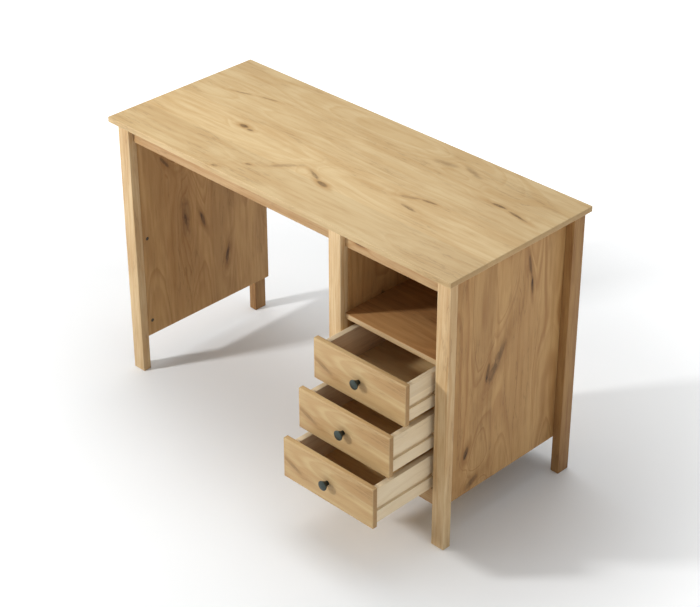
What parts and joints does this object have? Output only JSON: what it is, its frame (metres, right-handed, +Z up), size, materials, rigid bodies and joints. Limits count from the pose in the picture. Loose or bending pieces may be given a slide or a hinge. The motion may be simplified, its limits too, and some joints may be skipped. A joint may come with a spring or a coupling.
{
  "type": "pedestal desk",
  "caption": "Straight pine writing desk with a knee space, an open compartment and drawers on wooden runners standing open.",
  "frame": {"origin": "on the floor, under the middle of the box around the whole desk with its drawers standing open", "axes": "+X along the desk's width to the right as the user sits, +Y from the user to the back, +Z up"},
  "size_m": [1.19, 0.7, 0.77],
  "materials": {
    "waxed_pine": "knotty pine, honey stained and waxed to a satin sheen",
    "raw_pine": "planed pine, left pale and untreated",
    "beech": "turned or planed beech, untreated",
    "back_plywood": "thin pine-faced plywood, stained",
    "drawer_plywood": "thin plywood, untreated",
    "gunmetal": "dark gunmetal lacquer on cast zinc, satin",
    "zinc_steel": "bright zinc plating"
  },
  "bodies": {
    "carcass": {"desktop": "waxed_pine", "knee_apron": "waxed_pine", "pedestal_apron": "waxed_pine", "rear_apron": "waxed_pine", "shelf": "waxed_pine", "lower_rail": "waxed_pine", "left_front_leg": "waxed_pine", "left_rear_leg": "waxed_pine", "middle_front_leg": "waxed_pine", "middle_rear_leg": "waxed_pine", "right_front_leg": "waxed_pine", "right_rear_leg": "waxed_pine", "left_side_panel": "waxed_pine", "right_side_panel": "waxed_pine", "partition_panel": "waxed_pine", "back_board": "back_plywood", "leg_dowels": "beech", "rear_leg_dowels": "beech", "rail_dowels": "beech", "shelf_dowels": "beech", "desktop_dowels": "beech", "cam_locks": "zinc_steel", "cam_bolts": "zinc_steel", "runner_screws": "zinc_steel", "top_brackets": "zinc_steel", "bracket_screws": "zinc_steel", "back_board_nails": "zinc_steel", "top_left_runner": "beech", "top_right_runner": "beech", "middle_left_runner": "beech", "middle_right_runner": "beech", "bottom_left_runner": "beech", "bottom_right_runner": "beech"},
    "top_drawer": {"top_drawer_front": "waxed_pine", "top_drawer_left_side": "raw_pine", "top_drawer_right_side": "raw_pine", "top_drawer_back": "raw_pine", "top_drawer_bottom_board": "drawer_plywood", "top_drawer_knob": "gunmetal", "top_drawer_knob_screw": "zinc_steel", "top_drawer_dowels": "beech"},
    "middle_drawer": {"middle_drawer_front": "waxed_pine", "middle_drawer_left_side": "raw_pine", "middle_drawer_right_side": "raw_pine", "middle_drawer_back": "raw_pine", "middle_drawer_bottom_board": "drawer_plywood", "middle_drawer_knob": "gunmetal", "middle_drawer_knob_screw": "zinc_steel", "middle_drawer_dowels": "beech"},
    "bottom_drawer": {"bottom_drawer_front": "waxed_pine", "bottom_drawer_left_side": "raw_pine", "bottom_drawer_right_side": "raw_pine", "bottom_drawer_back": "raw_pine", "bottom_drawer_bottom_board": "drawer_plywood", "bottom_drawer_knob": "gunmetal", "bottom_drawer_knob_screw": "zinc_steel", "bottom_drawer_dowels": "beech"}
  },
  "joints": [
    {"name": "top_drawer_slide", "type": "slide", "parent": "carcass", "child": "top_drawer", "axis": [0, -1, 0], "range_m": [-0.095, 0.205]},
    {"name": "middle_drawer_slide", "type": "slide", "parent": "carcass", "child": "middle_drawer", "axis": [0, -1, 0], "range_m": [-0.147, 0.153]},
    {"name": "bottom_drawer_slide", "type": "slide", "parent": "carcass", "child": "bottom_drawer", "axis": [0, -1, 0], "range_m": [-0.2, 0.1]}
  ]
}
